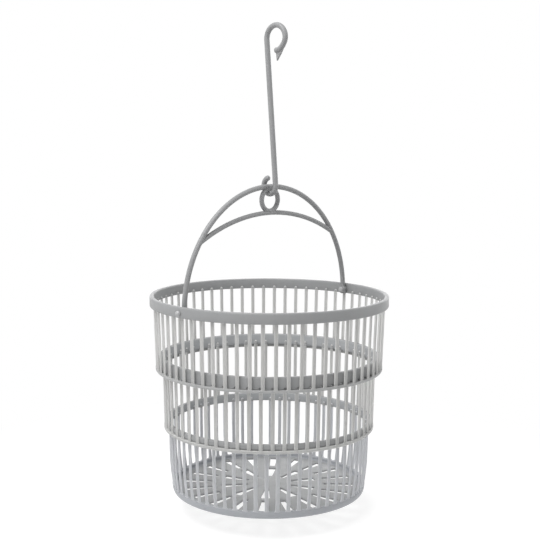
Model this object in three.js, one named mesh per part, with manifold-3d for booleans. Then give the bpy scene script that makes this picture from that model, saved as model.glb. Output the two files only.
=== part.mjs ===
// Hanging peg basket of slatted plastic, in millimetres, +Z up.
// The origin is where a line or rail carries the hook: the top of the bend, on its inside.
// X runs along the handle's pivot pins, and the hook lies in the YZ plane.
import * as THREE from "three";
import { mergeVertices } from "three/addons/utils/BufferGeometryUtils.js";
import Module from "manifold-3d";

const wasm = await Module();
wasm.setup();

// Clearances between pieces
const runningGap = 0.3;
const armGap = 0.4;
const nestClearance = 1.1;
const passClearance = 0.75;

// Rim band and its pivots
const rimRadius = 110;
const rimWall = 4;
const rimHeight = 9.7;
const rimEdge = 0.9;
const pivotDrop = 5.9;

// Slats, the same in every tier
const slatsPerTier = 60;
const slatWidth = 3.6;
const slatDepth = 1.7;
const slatFaceShare = 0.62;
const slatBackShare = 0.78;
const slatWaistShare = 0.3;
const slatSink = 0.6;
const slatInset = 0.15;
const rimNubRise = 1.5;
const middleNubRise = 5.8;
const lowNubRise = 4.5;
const pivotSlatDrop = 0.35;

// Upper tier, from the rim's top to the underside of its ledge
const upperTierHeight = 68.9;
const upperTaper = 2;
const upperLedgeHeight = 2.5;
const ledgeEdge = 0.6;

// Middle band, which stands on the upper ledge with a notch over each of its slats, and its tier
const middleBandHeight = 10.4;
const middleBandWall = 4.2;
const bandFlare = 0.4;
const bandFlareHeight = 0.7;
const notchWidth = 2.8;
const notchHeight = 1.3;
const middleTierHeight = 54.7;
const middleTaper = 1.1;

// Stepped ledge and low band
const lowerLedgeHeight = 2.7;
const lowBandHeight = 5.4;
const lowBandWall = 3.5;
const lowBandSink = 0.3;

// Lower tier, drawn in towards the base in a slow curve
const lowerTierHeight = 53.2;
const lowerTaper = 2.8;
const lowerDropShares = [0.6, 1];
const lowerInsetShares = [0.2, 1];

// Base rim, foot and floor
const baseRimHeight = 6.7;
const baseRimDraw = 1.8;
const baseWall = 4;
const footEdge = 0.8;
const floorThickness = 1.8;
const floorRecess = 2;
const outerSlots = 20;
const outerSlotStart = 52;
const outerSlotEnd = 79;
const outerSlotNarrow = 4.5;
const outerSlotWide = 7.5;
const innerSlots = 10;
const innerSlotStart = 20;
const innerSlotEnd = 45;
const innerSlotNarrow = 4;
const innerSlotWide = 8.5;

// How far the lower basket is turned against the rim, in degrees
const lowerTurn = 4.8;

// Handle: an outer bow, a flatter inner bow and a ring eye between them
const bowRise = 104.9;
const bowRod = 4.6;
const innerBowRise = 81;
const innerBowRadius = 175;
const innerBowRod = 4.2;
const eyeDiameter = 20.6;
const eyeRod = 4.4;
const eyeSag = 1.7;
const bossDiameter = 7.6;

// Pivot pins
const pinDiameter = 3.8;
const pinHeadDiameter = 5.6;
const pinHeadHeight = 2.5;
const pinNubDiameter = 5.4;
const pinNubHeight = 1.8;

// Hook: a bend for the line, a shank and a loop round the bow, with a barb under the bend's tip
const hookRod = 5;
const bendRadius = 11.55;
const bendCurl = 0.9;
const loopRadius = 7.4;
const hookCentres = 131.9;
const hookLean = 3.055;
const bendTipAngle = 270;
const loopTipAngle = 68;
const barbDrop = 7.3;
const barbThickness = 1.6;
const barbTipRadius = 0.75;
const barbPointAngle = 265.5;
const barbRootAngle = 268.5;
const barbBackAngle = 214;
const barbBackShare = 0.45;

// Smoothness of the faceted solids, and how far a cut runs past what it cuts
const ringFlats = slatsPerTier;
const rodSides = 8;
const holeSides = 16;
const bossSides = 24;
const pinSides = 12;
const overrun = 1;

const radians = THREE.MathUtils.degToRad;
const flatShare = Math.cos(Math.PI / ringFlats);

// Makes a closed solid of a geometry, with its faces pointing out.
function solid(geometry) {
  const bare = geometry.clone();
  bare.deleteAttribute("normal");
  bare.deleteAttribute("uv");
  const merged = mergeVertices(bare);
  const index = [];
  const corners = merged.index.array;
  for (let i = 0; i < corners.length; i += 3) {
    const [a, b, c] = corners.slice(i, i + 3);
    if (a !== b && b !== c && c !== a) index.push(a, b, c);
  }
  const build = (triVerts) =>
    new wasm.Manifold(
      new wasm.Mesh({
        numProp: 3,
        vertProperties: merged.attributes.position.array,
        triVerts: new Uint32Array(triVerts),
      }),
    );
  const made = build(index);
  return made.volume() < 0 ? build(index.reverse()) : made;
}

// Turns a solid back into a geometry with one normal per facet.
function geometryOf(made) {
  const mesh = made.getMesh();
  const geometry = new THREE.BufferGeometry();
  geometry.setAttribute("position", new THREE.BufferAttribute(mesh.vertProperties, 3));
  geometry.setIndex(new THREE.BufferAttribute(mesh.triVerts, 1));
  const faceted = geometry.toNonIndexed();
  faceted.computeVertexNormals();
  return faceted;
}

const join = (solids) => wasm.Manifold.union(solids);

// Revolves a closed outline of [radius, height] points about Z. Radii are those at the middle of
// the flats, and the first flat faces +X, so that a slat sits square on a flat.
function revolve(outline, flats = ringFlats) {
  const share = Math.cos(Math.PI / flats);
  const points = outline.map(([radius, height]) => new THREE.Vector2(radius / share, height));
  const first = Math.PI / 2 + Math.PI / flats;
  return solid(new THREE.LatheGeometry(points, flats, first).rotateX(Math.PI / 2));
}

// Joins a row of like sections, each a ring of points, into a solid with flat ends.
function loft(sections) {
  const sides = sections[0].length;
  const index = [];
  for (let i = 0; i + 1 < sections.length; i += 1) {
    for (let j = 0; j < sides; j += 1) {
      const a = i * sides + j;
      const b = i * sides + ((j + 1) % sides);
      index.push(a, b, b + sides, a, b + sides, a + sides);
    }
  }
  const last = (sections.length - 1) * sides;
  for (let j = 1; j + 1 < sides; j += 1) {
    index.push(0, j + 1, j, last, last + j, last + j + 1);
  }
  const geometry = new THREE.BufferGeometry().setFromPoints(sections.flat());
  geometry.setIndex(index);
  return solid(geometry);
}

// A round rod through stations of {at, along, radius}, all in a plane with the given normal.
function rod(stations, normal, sides = rodSides) {
  const sections = stations.map(({ at, along, radius }) => {
    const across = new THREE.Vector3().crossVectors(normal, along).normalize();
    return Array.from({ length: sides }, (_, j) => {
      const turn = (2 * Math.PI * (j + 0.5)) / sides;
      return at
        .clone()
        .addScaledVector(across, radius * Math.cos(turn))
        .addScaledVector(normal, radius * Math.sin(turn));
    });
  });
  return loft(sections);
}

// Stations before a rod's first one that round off its end.
function domedStart({ at, along, radius }) {
  return [65, 35].map((degrees) => ({
    at: at.clone().addScaledVector(along, -radius * Math.sin(radians(degrees))),
    along,
    radius: radius * Math.cos(radians(degrees)),
  }));
}

// Stations along an arc or a like curve in the plane of X or Y and Z.
function stationsOf(pointAt, tangentAt, from, to, steps, radius) {
  return Array.from({ length: steps + 1 }, (_, i) => {
    const t = from + ((to - from) * i) / steps;
    return { at: pointAt(t), along: tangentAt(t).normalize(), radius };
  });
}

// One slat standing at +X, through stations of [height, radius of its outer face]. Its section is
// narrower at the face and at the back than at its waist.
function slat(stations) {
  const outline = [
    [0, slatFaceShare],
    [slatWaistShare, 1],
    [1, slatBackShare],
    [1, -slatBackShare],
    [slatWaistShare, -1],
    [0, -slatFaceShare],
  ];
  return loft(
    stations.map(([height, face]) =>
      outline.map(
        ([depthShare, widthShare]) =>
          new THREE.Vector3(
            face - depthShare * slatDepth,
            (widthShare * slatWidth) / 2,
            height,
          ),
      ),
    ),
  );
}

// Copies of a solid all round the Z axis.
function allRound(made, count, firstDegrees = 0) {
  return Array.from({ length: count }, (_, i) =>
    made.rotate([0, 0, firstDegrees + (360 * i) / count]),
  );
}

// Cylinder along X between two places, as a bore or a boss.
function crossCylinder(diameter, from, to, sides = holeSides) {
  const geometry = new THREE.CylinderGeometry(diameter / 2, diameter / 2, to - from, sides);
  return solid(geometry.rotateZ(Math.PI / 2).translate((from + to) / 2, 0, 0));
}

// Heights below the rim's top
const upperLedgeTop = -(upperTierHeight - upperLedgeHeight);
const middleBandBottom = upperLedgeTop + runningGap;
const middleBandTop = middleBandBottom + middleBandHeight;
const lowerLedgeBottom = -(upperTierHeight + middleTierHeight);
const lowerLedgeTop = lowerLedgeBottom + lowerLedgeHeight;
const lowBandTop = lowerLedgeTop + lowBandHeight;
const baseRimTop = lowerLedgeBottom - lowerTierHeight;
const footBottom = baseRimTop - baseRimHeight;

// Radii of the slats' outer faces and of the rings that carry them
const rimInner = rimRadius - rimWall;
const upperFaceTop = rimInner + slatSink;
const upperFaceBottom = upperFaceTop - upperTaper;
const upperFaceAt = (height) =>
  THREE.MathUtils.mapLinear(height, -rimHeight, -upperTierHeight, upperFaceTop, upperFaceBottom);
const middleBandOuter = upperFaceAt(middleBandBottom) - slatDepth - nestClearance;
const middleBandInner = middleBandOuter - middleBandWall;
const middleFaceTop = middleBandInner + slatSink;
const middleFaceBottom = middleFaceTop - middleTaper;
const upperLedgeInner = middleFaceTop + passClearance;
const lowBandOuter = middleFaceBottom - slatDepth + lowBandSink;
const lowBandInner = lowBandOuter - lowBandWall;
const lowerFaceTop = lowBandInner + slatSink;
const lowerFaceBottom = lowerFaceTop - lowerTaper;

// Holes that the pins pass through, in the rim and in the handle's bosses
const pinHole = pinDiameter + 2 * runningGap;
const bossOuterFace = rimInner - runningGap;
const bossInnerFace = rimInner - armGap - bowRod;
const bowHalfWidth = rimInner - armGap - bowRod / 2;

function upperRing() {
  const rim = revolve([
    [rimInner, -rimHeight],
    [rimRadius - rimEdge, -rimHeight],
    [rimRadius, rimEdge - rimHeight],
    [rimRadius, -rimEdge],
    [rimRadius - rimEdge, 0],
    [rimInner + rimEdge, 0],
    [rimInner, -rimEdge],
    [rimInner, -rimHeight],
  ]);
  const ledgeOuter = upperFaceBottom + slatInset;
  const ledge = revolve([
    [upperLedgeInner, -upperTierHeight],
    [ledgeOuter - ledgeEdge, -upperTierHeight],
    [ledgeOuter, ledgeEdge - upperTierHeight],
    [ledgeOuter, upperLedgeTop],
    [upperLedgeInner, upperLedgeTop],
    [upperLedgeInner, -upperTierHeight],
  ]);
  const slatFoot = [upperLedgeTop - upperLedgeHeight / 2, upperFaceAt(upperLedgeTop)];
  const slats = allRound(
    slat([[rimNubRise - rimHeight, upperFaceTop], slatFoot]),
    slatsPerTier,
  );
  // The slat under each pivot stops short of the handle's boss, so its nub is cut away there.
  const bossRoom = (side) => {
    const reach = bossDiameter / 2 + pivotSlatDrop;
    const room = new THREE.BoxGeometry(rimInner - bossInnerFace + overrun, 2 * reach, 2 * reach);
    const middle = (side * (rimInner + bossInnerFace - overrun)) / 2;
    return solid(room.translate(middle, 0, -pivotDrop));
  };
  const bores = crossCylinder(pinHole, -rimRadius - overrun, rimRadius + overrun);
  return join([join(slats).subtract(join([bossRoom(1), bossRoom(-1)])), rim, ledge]).subtract(
    bores.translate([0, 0, -pivotDrop]),
  );
}

function floorSlot(start, end, narrow, wide) {
  const outline = new THREE.Shape([
    new THREE.Vector2(start, -narrow / 2),
    new THREE.Vector2(end, -wide / 2),
    new THREE.Vector2(end, wide / 2),
    new THREE.Vector2(start, narrow / 2),
  ]);
  const depth = floorThickness + 2 * overrun;
  const cutter = new THREE.ExtrudeGeometry(outline, { depth, bevelEnabled: false });
  return solid(cutter.translate(0, 0, footBottom + floorRecess - overrun));
}

function lowerBasket() {
  const band = revolve([
    [middleBandInner, middleBandBottom],
    [middleBandOuter + bandFlare, middleBandBottom],
    [middleBandOuter, middleBandBottom + bandFlareHeight],
    [middleBandOuter, middleBandTop - rimEdge],
    [middleBandOuter - rimEdge, middleBandTop],
    [middleBandInner, middleBandTop],
    [middleBandInner, middleBandBottom],
  ]);
  // A notch runs through the band to the face of the slat behind it.
  const notch = new THREE.BoxGeometry(
    middleBandWall + bandFlare + 2 * overrun,
    notchWidth,
    2 * notchHeight,
  );
  notch.translate((middleBandInner + middleBandOuter + bandFlare) / 2, 0, middleBandBottom);
  const middleSlat = slat([
    [middleBandBottom + middleNubRise, middleFaceTop],
    [lowerLedgeTop - lowerLedgeHeight / 2, middleFaceBottom],
  ]);
  const ledgeOuter = middleFaceBottom + slatInset;
  const ledge = revolve([
    [lowBandInner, lowerLedgeBottom],
    [ledgeOuter - ledgeEdge, lowerLedgeBottom],
    [ledgeOuter, lowerLedgeBottom + ledgeEdge],
    [ledgeOuter, lowerLedgeTop],
    [lowBandOuter, lowerLedgeTop],
    [lowBandOuter, lowBandTop],
    [lowBandInner, lowBandTop],
    [lowBandInner, lowerLedgeBottom],
  ]);
  const lowerStations = lowerDropShares.map((drop, i) => [
    lowerLedgeBottom - drop * (lowerTierHeight + baseRimHeight / 2),
    lowerFaceTop - lowerInsetShares[i] * lowerTaper,
  ]);
  const lowerSlat = slat([[lowerLedgeBottom + lowNubRise, lowerFaceTop], ...lowerStations]);
  const baseOuter = lowerFaceBottom + slatInset;
  const footOuter = baseOuter - baseRimDraw;
  const floorBottom = footBottom + floorRecess;
  const base = revolve([
    [0, floorBottom + floorThickness],
    [baseOuter - baseWall, floorBottom + floorThickness],
    [baseOuter - baseWall, baseRimTop],
    [baseOuter, baseRimTop],
    [footOuter + footEdge, footBottom + 2 * footEdge],
    [footOuter, footBottom],
    [footOuter - baseWall, footBottom],
    [footOuter - baseWall, floorBottom],
    [0, floorBottom],
  ]);
  const slots = [
    ...allRound(
      floorSlot(outerSlotStart, outerSlotEnd, outerSlotNarrow, outerSlotWide),
      outerSlots,
    ),
    ...allRound(
      floorSlot(innerSlotStart, innerSlotEnd, innerSlotNarrow, innerSlotWide),
      innerSlots,
    ),
  ];
  const halfPitch = 180 / slatsPerTier;
  return join([
    band.subtract(join(allRound(solid(notch), slatsPerTier))),
    ledge,
    base.subtract(join(slots)),
    ...allRound(middleSlat, slatsPerTier),
    ...allRound(lowerSlat, slatsPerTier, halfPitch),
  ]);
}

// The handle stands in the XZ plane with its origin on the pivot axis.
function handle() {
  const normal = new THREE.Vector3(0, 1, 0);
  const outerBow = rod(
    stationsOf(
      (t) => new THREE.Vector3(bowHalfWidth * Math.cos(t), 0, bowRise * Math.sin(t)),
      (t) => new THREE.Vector3(-bowHalfWidth * Math.sin(t), 0, bowRise * Math.cos(t)),
      0,
      Math.PI,
      36,
      bowRod / 2,
    ),
    normal,
  );
  const innerCentre = innerBowRise - innerBowRadius;
  // The inner bow ends where its centreline meets the outer bow's.
  const above = (angle) => {
    const x = innerBowRadius * Math.sin(angle) / bowHalfWidth;
    const z = (innerCentre + innerBowRadius * Math.cos(angle)) / bowRise;
    return x * x + z * z - 1;
  };
  let endAngle = Math.asin(Math.min(1, bowHalfWidth / innerBowRadius));
  for (let low = 0, i = 0; i < 40; i += 1) {
    const middle = (low + endAngle) / 2;
    if (above(middle) < 0) low = middle;
    else endAngle = middle;
  }
  const innerBow = rod(
    stationsOf(
      (t) =>
        new THREE.Vector3(
          innerBowRadius * Math.sin(t),
          0,
          innerCentre + innerBowRadius * Math.cos(t),
        ),
      (t) => new THREE.Vector3(Math.cos(t), 0, -Math.sin(t)),
      -endAngle,
      endAngle,
      18,
      innerBowRod / 2,
    ),
    normal,
  );
  const eye = new THREE.TorusGeometry(eyeDiameter / 2, eyeRod / 2, rodSides, 20);
  eye.rotateX(Math.PI / 2).translate(0, 0, bowRise - eyeSag - eyeDiameter / 2);
  const bosses = [1, -1].map((side) => {
    const ends = [side * bossInnerFace, side * bossOuterFace].sort((a, b) => a - b);
    return crossCylinder(bossDiameter, ...ends, bossSides);
  });
  const bores = crossCylinder(pinHole, -rimRadius, rimRadius);
  return join([outerBow, innerBow, solid(eye), ...bosses]).subtract(bores);
}

// A pin along +X: domed head outside the rim, shank through rim and boss, domed end inside.
function pivotPin() {
  const headSeat = rimRadius + runningGap;
  const nubSeat = bossInnerFace - runningGap;
  const shank = pinDiameter / 2;
  const head = pinHeadDiameter / 2;
  const nub = pinNubDiameter / 2;
  const domeShares = [
    [1, 0.25],
    [0.85, 0.65],
    [0.5, 0.93],
    [0, 1],
  ];
  const outline = [
    ...domeShares.map(([across, out]) => [nub * across, nubSeat - pinNubHeight * out]).reverse(),
    [nub, nubSeat],
    [shank, nubSeat],
    [shank, headSeat],
    [head, headSeat],
    ...domeShares.map(([across, out]) => [head * across, headSeat + pinHeadHeight * out]),
  ].map(([radius, along]) => new THREE.Vector2(radius, along));
  return solid(new THREE.LatheGeometry(outline, pinSides).rotateZ(-Math.PI / 2));
}

// Point in the YZ plane at an angle from +Y and a distance from a centre.
function polar(centre, degrees, distance) {
  const angle = radians(degrees);
  return centre
    .clone()
    .add(new THREE.Vector3(0, distance * Math.cos(angle), distance * Math.sin(angle)));
}

// Centres of the hook's bend and loop: the line's seat is the origin, inside the bend's top.
const bendCentre = new THREE.Vector3(0, 0, hookRod / 2 - bendRadius);
const loopCentre = polar(bendCentre, 270 + hookLean, hookCentres);

function hook() {
  const normal = new THREE.Vector3(1, 0, 0);
  const radius = hookRod / 2;
  // The shank is the line that touches the loop's centreline on one side and the bend's on the other.
  const shankLean =
    THREE.MathUtils.radToDeg(Math.asin((bendRadius + loopRadius) / hookCentres)) - hookLean;
  const curlAt = (degrees) => bendRadius - bendCurl * THREE.MathUtils.smoothstep(degrees, 165, 225);
  const turning = (sign) => (t) =>
    new THREE.Vector3(0, -sign * Math.sin(radians(t)), sign * Math.cos(radians(t)));
  const loopStations = stationsOf(
    (t) => polar(loopCentre, t, loopRadius),
    turning(-1),
    loopTipAngle,
    -180 - shankLean,
    14,
    radius,
  );
  const bendStations = stationsOf(
    (t) => polar(bendCentre, t, curlAt(t)),
    turning(1),
    -shankLean,
    bendTipAngle,
    18,
    radius,
  );
  const stations = [...domedStart(loopStations[0]), ...loopStations, ...bendStations];
  const tipRadius = curlAt(bendTipAngle);
  const point = polar(
    bendCentre,
    barbPointAngle,
    tipRadius + radius + barbDrop - barbTipRadius,
  );
  const root = polar(bendCentre, barbRootAngle, tipRadius);
  const back = polar(bendCentre, barbBackAngle, curlAt(barbBackAngle) + barbBackShare * hookRod);
  const flat = ({ y, z }) => new THREE.Vector2(y, z);
  const tip = flat(point);
  const sideOf = (from, sign) => {
    const along = tip.clone().sub(flat(from)).normalize();
    return tip.clone().addScaledVector(new THREE.Vector2(-along.y, along.x), sign * barbTipRadius);
  };
  const crown = tip
    .clone()
    .addScaledVector(tip.clone().sub(flat(root)).normalize(), barbTipRadius);
  const web = new THREE.ExtrudeGeometry(
    new THREE.Shape([flat(root), flat(back), sideOf(back, -1), crown, sideOf(root, 1)]),
    { depth: barbThickness, bevelEnabled: false },
  );
  web.translate(0, 0, -barbThickness / 2);
  web.applyMatrix4(
    new THREE.Matrix4().makeBasis(
      new THREE.Vector3(0, 1, 0),
      new THREE.Vector3(0, 0, 1),
      new THREE.Vector3(1, 0, 0),
    ),
  );
  return join([rod(stations, normal), solid(web)]);
}

function plasticMesh(name, made) {
  const material = new THREE.MeshStandardMaterial({
    color: 0xb4b6b8,
    roughness: 0.42,
    metalness: 0,
  });
  const mesh = new THREE.Mesh(geometryOf(made), material);
  mesh.name = name;
  return mesh;
}

// The top of the ring eye, grown together with the bow, hangs in the bottom of the loop.
const eyeInLoop = loopRadius - hookRod / 2 - eyeRod / 2 - runningGap;
const pivotHeight = loopCentre.z - eyeInLoop + eyeSag - bowRise;
const rimTop = pivotHeight + pivotDrop;

const part = new THREE.Group();
part.add(plasticMesh("hook", hook()));

const handleGroup = new THREE.Group();
handleGroup.position.set(0, loopCentre.y, pivotHeight);
handleGroup.add(plasticMesh("handle", handle()));
part.add(handleGroup);

const pinGroup = new THREE.Group();
pinGroup.position.copy(handleGroup.position);
const rightPin = plasticMesh("pivot_pin_right", pivotPin());
const leftPin = plasticMesh("pivot_pin_left", pivotPin());
leftPin.rotation.z = Math.PI;
pinGroup.add(rightPin, leftPin);
part.add(pinGroup);

const basketGroup = new THREE.Group();
basketGroup.position.set(0, loopCentre.y, rimTop);
const lower = plasticMesh("lower_basket", lowerBasket());
lower.rotation.z = radians(lowerTurn);
basketGroup.add(plasticMesh("upper_ring", upperRing()), lower);
part.add(basketGroup);

export default part;
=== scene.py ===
import math
from types import SimpleNamespace

import bmesh
import bpy
from mathutils import Euler, Matrix, Vector


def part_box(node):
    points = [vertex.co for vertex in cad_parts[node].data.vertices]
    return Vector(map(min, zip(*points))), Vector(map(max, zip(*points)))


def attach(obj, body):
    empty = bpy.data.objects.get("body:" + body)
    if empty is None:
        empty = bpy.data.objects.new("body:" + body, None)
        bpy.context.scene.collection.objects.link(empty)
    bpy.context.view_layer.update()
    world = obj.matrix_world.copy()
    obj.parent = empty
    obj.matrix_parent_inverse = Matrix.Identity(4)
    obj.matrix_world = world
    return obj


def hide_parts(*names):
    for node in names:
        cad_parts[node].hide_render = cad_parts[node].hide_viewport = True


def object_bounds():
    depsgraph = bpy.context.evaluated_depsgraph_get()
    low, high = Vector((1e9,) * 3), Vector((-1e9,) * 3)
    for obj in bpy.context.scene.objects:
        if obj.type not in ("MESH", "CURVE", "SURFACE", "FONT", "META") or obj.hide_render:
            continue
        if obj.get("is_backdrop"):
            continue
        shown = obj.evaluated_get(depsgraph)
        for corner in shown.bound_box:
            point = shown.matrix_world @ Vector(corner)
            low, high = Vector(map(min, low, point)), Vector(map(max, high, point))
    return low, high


bl_info = {
    "name": "Peg Basket",
    "version": (1, 0, 0),
    "blender": (4, 5, 0),
    "location": "3D View > Sidebar > Peg Basket",
    "description": "Builds a hanging peg basket of slatted plastic round its CAD frame",
    "category": "Add Mesh",
}

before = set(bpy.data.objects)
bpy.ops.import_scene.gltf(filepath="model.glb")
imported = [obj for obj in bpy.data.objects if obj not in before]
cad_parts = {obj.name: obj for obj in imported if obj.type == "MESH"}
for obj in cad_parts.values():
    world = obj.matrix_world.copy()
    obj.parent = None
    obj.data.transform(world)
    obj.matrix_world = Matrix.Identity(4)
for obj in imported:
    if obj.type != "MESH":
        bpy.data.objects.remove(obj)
cad_low, cad_high = (corner.copy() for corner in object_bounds())

UPPER_LOW, UPPER_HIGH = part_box("upper_ring")
PIN_LOW, PIN_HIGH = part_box("pivot_pin_right")
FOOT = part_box("lower_basket")[0].z

# The basket's axis, with its origin in the plane of the rim's top, and the axis of the pins
BASKET_AXIS = Vector((0, (UPPER_LOW.y + UPPER_HIGH.y) / 2, UPPER_HIGH.z))
PIVOT = Vector((0, BASKET_AXIS.y, (PIN_LOW.z + PIN_HIGH.z) / 2))

ORIGIN = (0, 0, 0)
ALONG_PINS = (1, 0, 0)
ACROSS_PINS = (0, 1, 0)
UP = (0, 0, 1)
FULL_TURN = 2 * math.pi

# Slats in each of the three rows, steps round a band and sides of a rod
SLATS = 60
RING_STEPS = 240
ROD_SIDES = 20

# Room between mouldings, in metres: where they run or rest on each other, behind the upper
# slats, before the middle ones, and between a round end of the handle and the slat under it
RUNNING_GAP = 0.0003
NEST_CLEARANCE = 0.0011
PASS_CLEARANCE = 0.00075
BOSS_CLEARANCE = 0.0004

# How deep the slats, their feet, their lower ends and the low band are sunk into what they join
SLAT_SINK = 0.0006
FOOT_SINK = 0.001
BASE_SINK = 0.0004
BAND_SINK = 0.0003

# How far surfaces of one moulding that would coincide are kept apart
LAP = 0.0001

# How far the ledges and the base rim stand out past their slats, and how far the floor's edge
# lies inside the base rim's outside
LEDGE_LIP = 0.00035
BASE_LIP = 0.00025
FLOOR_EDGE = 0.0062

# Roundings of small corners, and of the floor's slots and the barb
FINEST = 0.0002
FINE = 0.0003
SOFT = 0.0004
FINE_EDGE = 0.00035

# A slat's section, as shares of its depth and half width
SLAT_SECTION = ((0, 0.62), (0.3, 1), (1, 0.78), (1, -0.78), (0.3, -1), (0, -0.62))
# The spread of a slat's foot part of the way up, and the share of its height where that is
FOOT_SPREAD = 1.07
FOOT_BEND = 0.35
# How far each row's slats run up over their band before their domed tops, how they narrow
# there, and how far up their tips begin, which keep the pale slat colour as a painted highlight
UPPER_NUB_START, UPPER_HIGHLIGHT_TIPS = 0.0003, 0.0018
MIDDLE_NUB_START, MIDDLE_HIGHLIGHT_TIPS = 0.0026, 0.0034
LOWER_NUB_START, LOWER_HIGHLIGHT_TIPS = 0.002, 0.0028
NUB_WIDTH = 0.86
# A nub's domed top, ring by ring, as shares of its height and of the width below
NUB_RINGS = ((0.4, 0.9), (0.27, 0.8), (0.2, 0.7), (0.13, 0.45))

# Degrees up a half-ball at which a rod's round end has its rings
DOME_RINGS = (22, 42, 60, 76)
# Shares of a pin head's radius and height, from its seat to its top
HEAD_DOME = [(math.cos(math.radians(a)), math.sin(math.radians(a))) for a in range(6, 90, 12)]

# How squarely a face looks towards the basket's axis to count as an inner side
INWARD = 0.7


def setting(kind=bpy.props.FloatProperty, **options):
    """A function that makes one kind of setting from its name, description and default."""

    def make(name, description, default):
        return kind(name=name, description=description, default=default, **options)

    return make


length = setting(unit="LENGTH", precision=5)
share = setting(min=0, max=1, subtype="FACTOR")
strength = setting(min=0)
colour = setting(bpy.props.FloatVectorProperty, size=3, min=0, max=1, subtype="COLOR")


def angle(name, description, degrees):
    return setting(subtype="ANGLE")(name, description, math.radians(degrees))


class PegBasketSizes(bpy.types.PropertyGroup):
    rim_radius: length("Rim radius", "Outer radius of the rim band", 0.110)
    rim_wall: length("Rim wall", "Thickness of the rim band", 0.004)
    rim_height: length("Rim height", "Height of the rim band", 0.0097)
    rim_edge: length("Rim edge", "Rounding of the rim's edges", 0.0011)
    slat_width: length("Slat width", "Widest width of a slat", 0.0036)
    slat_depth: length("Slat depth", "Depth of a slat, from face to back", 0.0017)
    slat_edge: length("Slat edge", "Rounding of a slat's corners", 0.0003)
    slat_foot: length("Slat foot", "Height over which a slat spreads into its ledge", 0.0011)
    upper_nub: length("Upper nub", "Height of the upper slats' domed tops", 0.0024)
    lower_nub: length("Lower nub", "Height of the other slats' domed tops", 0.0017)
    upper_height: length("Upper height", "From the rim's top to its ledge's underside", 0.0689)
    upper_taper: length("Upper taper", "How far the upper slats draw in downwards", 0.002)
    upper_ledge: length("Upper ledge", "Height of the upper ledge", 0.0025)
    band_height: length("Band height", "Height of the middle band", 0.0104)
    band_wall: length("Band wall", "Thickness of the middle band", 0.0042)
    band_flare: length("Band flare", "How far the band's lower edge stands out", 0.0004)
    notch_height: length("Notch height", "Height of the notches under the middle band", 0.0013)
    notch_width: length("Notch width", "Width of the notches under the middle band", 0.0028)
    middle_height: length("Middle height", "From ledge underside to ledge underside", 0.0547)
    middle_taper: length("Middle taper", "How far the middle slats draw in downwards", 0.0011)
    lower_ledge: length("Lower ledge", "Height of the stepped ledge", 0.0027)
    low_band: length("Low band", "Height of the low band on the stepped ledge", 0.0054)
    low_band_wall: length("Low band wall", "Thickness of the low band", 0.0035)
    groove: length("Groove", "Height and depth of the groove under the low band", 0.0009)
    lower_height: length("Lower height", "From the stepped ledge to the base rim", 0.0532)
    lower_taper: length("Lower taper", "How far the lower slats draw in downwards", 0.0028)
    base_height: length("Base height", "Height of the base rim", 0.0067)
    base_wall: length("Base wall", "Thickness of the base rim", 0.004)
    ledge_edge: length("Ledge edge", "Rounding of the ledges' edges", 0.0006)
    floor_thickness: length("Floor thickness", "Thickness of the slotted floor", 0.0018)
    floor_recess: length("Floor recess", "How far the floor stands above the foot", 0.002)
    lower_turn: angle("Lower turn", "How far the lower basket is turned in the ring", 4.8)


class PegBasketHandle(bpy.types.PropertyGroup):
    bow_half_width: length("Bow half width", "From the middle to the outer bow's rod", 0.1033)
    bow_rise: length("Bow rise", "From the pins to the top of the outer bow's rod", 0.1049)
    bow_rod: length("Bow rod", "Diameter of the outer bow's rod", 0.0046)
    inner_rise: length("Inner rise", "From the pins to the top of the inner bow's rod", 0.081)
    inner_radius: length("Inner radius", "Radius of the inner bow", 0.175)
    inner_sweep: angle("Inner sweep", "From the inner bow's top to its end", 29.3)
    inner_rod: length("Inner rod", "Diameter of the inner bow's rod", 0.0042)
    eye_diameter: length("Eye diameter", "Diameter of the ring eye, to its rod's middle", 0.0206)
    eye_rod: length("Eye rod", "Diameter of the ring eye's rod", 0.0044)
    eye_sag: length("Eye sag", "From the outer bow's top down to the eye's", 0.0017)
    boss_diameter: length("Boss diameter", "Diameter of the round ends", 0.0076)
    boss_depth: length("Boss depth", "Depth of the round ends, along the pins", 0.0047)
    boss_edge: length("Boss edge", "Rounding of the round ends' edges", 0.0007)
    pin_head: length("Pin head", "Diameter of a pin's head", 0.0056)
    pin_dome: length("Pin dome", "Height of a pin's domed head", 0.0025)
    pin_shank: length("Pin shank", "Diameter of a pin's shank", 0.0038)
    pin_nub: length("Pin nub", "Diameter of a pin's domed inner end", 0.0054)


class PegBasketHook(bpy.types.PropertyGroup):
    rod: length("Hook rod", "Diameter of the hook's rod", 0.0050)
    bend_radius: length("Bend radius", "Radius of the bend, to the rod's middle", 0.01155)
    bend_curl: length("Bend curl", "How far the bend's tip is drawn in", 0.0009)
    loop_radius: length("Loop radius", "Radius of the loop, to the rod's middle", 0.0074)
    centres: length("Centres", "From the bend's centre to the loop's", 0.1319)
    lean: angle("Lean", "How far the hook hangs out of plumb", 3.055)
    bend_tip: angle("Bend tip", "Where the bend ends, from +Y", 270)
    loop_tip: angle("Loop tip", "Where the loop ends, from +Y", 68)
    barb_drop: length("Barb drop", "How far the barb reaches under the bend's tip", 0.0073)
    barb_belly: length("Barb belly", "How far the barb stands out half-way along", 0.0021)
    barb_point: length("Barb point", "Rounding of the barb's point", 0.0009)
    barb_thickness: length("Barb thickness", "Thickness of the barb", 0.0016)


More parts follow.
